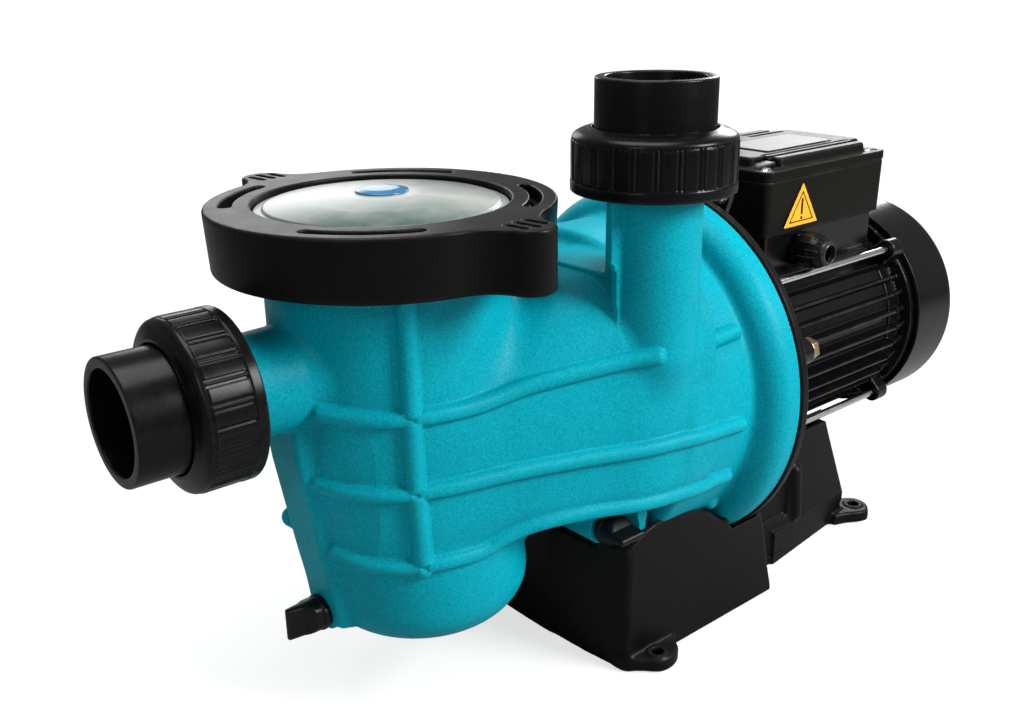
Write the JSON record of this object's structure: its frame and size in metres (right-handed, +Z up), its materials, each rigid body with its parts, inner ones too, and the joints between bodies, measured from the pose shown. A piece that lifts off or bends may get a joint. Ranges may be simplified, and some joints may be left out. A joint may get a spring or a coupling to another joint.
{
  "type": "pool pump",
  "caption": "Self-priming pool pump: strainer pot with clear lid and clamp ring, volute casing, finned motor with terminal box, union connectors and base.",
  "frame": {"origin": "on the floor plane under the shaft axis, in the plane of the casing flange's back face, at the middle of the base block's underside", "axes": "+X along the shaft from the strainer pot to the motor, -Y the side of the discharge port, +Z up"},
  "size_m": [0.5963, 0.2398, 0.3403],
  "materials": {
    "casing_plastic": "satin moulded, fine grain",
    "black_plastic": "satin moulded",
    "union_plastic": "semi-gloss moulded",
    "plug_plastic": "satin moulded",
    "clear_lid": "clear polycarbonate, slightly aged",
    "badge_blue": "domed gloss",
    "basket_plastic": "satin",
    "seal_rubber": "matt",
    "impeller_plastic": "satin, glass filled",
    "bright_steel": "bright zinc plated",
    "seal_carbon": "lapped carbon face, stood in by matt plastic",
    "seal_ceramic": "lapped",
    "bolt_brass": "machined",
    "motor_paint": "gloss black",
    "lamination_steel": "stacked sheet",
    "copper_wire": "enamelled copper wire, stood in by brass",
    "box_plastic": "semi-gloss moulded",
    "plate_metal": "satin",
    "capacitor_white": "satin",
    "label_yellow": "printed film"
  },
  "bodies": {
    "casing": {"pump_body": "casing_plastic", "casing_oring": "seal_rubber", "seal_plate": "black_plastic", "seal_seat": "seal_ceramic", "diffuser": "impeller_plastic", "motor_bracket": "motor_paint", "casing_bolt_1": "bolt_brass", "casing_bolt_2": "bolt_brass", "casing_bolt_3": "bolt_brass", "casing_bolt_4": "bolt_brass", "casing_bolt_5": "bolt_brass", "casing_bolt_6": "bolt_brass", "front_bearing_outer": "bright_steel", "rear_bearing_outer": "bright_steel", "stator_core": "lamination_steel", "stator_winding_front": "copper_wire", "stator_winding_rear": "copper_wire", "rear_end_shield": "motor_paint", "tie_rod_1": "bright_steel", "tie_rod_2": "bright_steel", "tie_rod_3": "bright_steel", "tie_rod_4": "bright_steel", "motor_frame": "motor_paint", "terminal_box": "box_plastic", "capacitor": "capacitor_white", "terminal_block": "impeller_plastic", "cable_gland_body": "plug_plastic", "hazard_label": "label_yellow", "base": "black_plastic", "suction_union_oring": "seal_rubber", "discharge_union_oring": "seal_rubber"},
    "rotor": {"motor_shaft": "bright_steel", "impeller": "impeller_plastic", "impeller_nut": "bright_steel", "seal_rotating": "seal_carbon", "front_bearing_inner": "bright_steel", "rear_bearing_inner": "bright_steel", "rotor_core": "lamination_steel", "cooling_fan": "black_plastic"},
    "lid": {"lid": "clear_lid", "lid_badge": "badge_blue", "lid_oring": "seal_rubber"},
    "ring": {"lid_ring": "black_plastic"},
    "basket": {"strainer_basket": "basket_plastic"},
    "suction_tail": {"suction_union_tail": "union_plastic"},
    "suction_nut": {"suction_union_nut": "union_plastic"},
    "discharge_tail": {"discharge_union_tail": "union_plastic"},
    "discharge_nut": {"discharge_union_nut": "union_plastic"},
    "pot_drain_seal": {"pot_drain_oring": "seal_rubber"},
    "pot_drain": {"pot_drain_plug": "plug_plastic"},
    "volute_drain_seal": {"volute_drain_oring": "seal_rubber"},
    "volute_drain": {"volute_drain_plug": "plug_plastic"},
    "box_lid": {"terminal_box_lid": "box_plastic", "rating_plate": "plate_metal", "box_lid_screw_1": "bright_steel", "box_lid_screw_2": "bright_steel", "box_lid_screw_3": "bright_steel", "box_lid_screw_4": "bright_steel"},
    "gland_nut": {"cable_gland_nut": "plug_plastic"},
    "fan_cover": {"fan_cover": "black_plastic"}
  },
  "joints": [
    {"name": "rotor_spin", "type": "hinge", "parent": "casing", "child": "rotor", "pos_m": [0, 0, 0.1474], "axis": [1, 0, 0], "continuous": true},
    {"name": "lid_lift", "type": "slide", "parent": "casing", "child": "lid", "axis": [0, 0, 1], "range_m": [0, 0.3]},
    {"name": "ring_turn", "type": "hinge", "parent": "lid", "child": "ring", "pos_m": [-0.203, 0, 0.268], "axis": [0, 0, 1], "range_deg": [0, 90]},
    {"name": "basket_lift", "type": "slide", "parent": "casing", "child": "basket", "axis": [0, 0, 1], "range_m": [0, 0.15]},
    {"name": "suction_union_pull", "type": "slide", "parent": "casing", "child": "suction_tail", "axis": [-1, 0, 0], "range_m": [0, 0.05]},
    {"name": "suction_nut_turn", "type": "hinge", "parent": "suction_tail", "child": "suction_nut", "pos_m": [-0.3523, 0, 0.204], "axis": [-1, 0, 0], "range_deg": [0, 450]},
    {"name": "discharge_union_pull", "type": "slide", "parent": "casing", "child": "discharge_tail", "axis": [0, 0, 1], "range_m": [0, 0.05]},
    {"name": "discharge_nut_turn", "type": "hinge", "parent": "discharge_tail", "child": "discharge_nut", "pos_m": [-0.0925, -0.0805, 0.3403], "axis": [0, 0, 1], "range_deg": [0, 450]},
    {"name": "pot_drain_pull", "type": "slide", "parent": "casing", "child": "pot_drain_seal", "axis": [-1, 0, 0], "range_m": [0, 0.04]},
    {"name": "pot_plug_turn", "type": "hinge", "parent": "pot_drain_seal", "child": "pot_drain", "pos_m": [-0.254, 0, 0.0675], "axis": [-1, 0, 0], "range_deg": [0, 450]},
    {"name": "volute_drain_pull", "type": "slide", "parent": "casing", "child": "volute_drain_seal", "axis": [0, -1, 0], "range_m": [0, 0.04]},
    {"name": "volute_plug_turn", "type": "hinge", "parent": "volute_drain_seal", "child": "volute_drain", "pos_m": [-0.113, -0.07, 0.096], "axis": [0, -1, 0], "range_deg": [0, 450]},
    {"name": "box_lid_lift", "type": "slide", "parent": "casing", "child": "box_lid", "axis": [0, 0, 1], "range_m": [0, 0.06]},
    {"name": "gland_nut_turn", "type": "hinge", "parent": "casing", "child": "gland_nut", "pos_m": [0.087, -0.055, 0.2168], "axis": [0, -1, 0], "range_deg": [0, 270]},
    {"name": "fan_cover_pull", "type": "slide", "parent": "casing", "child": "fan_cover", "axis": [1, 0, 0], "range_m": [0, 0.08]}
  ],
  "couplings": [
    {"joint": "basket_lift", "follows": "lid_lift", "ratio": 0.5}
  ]
}
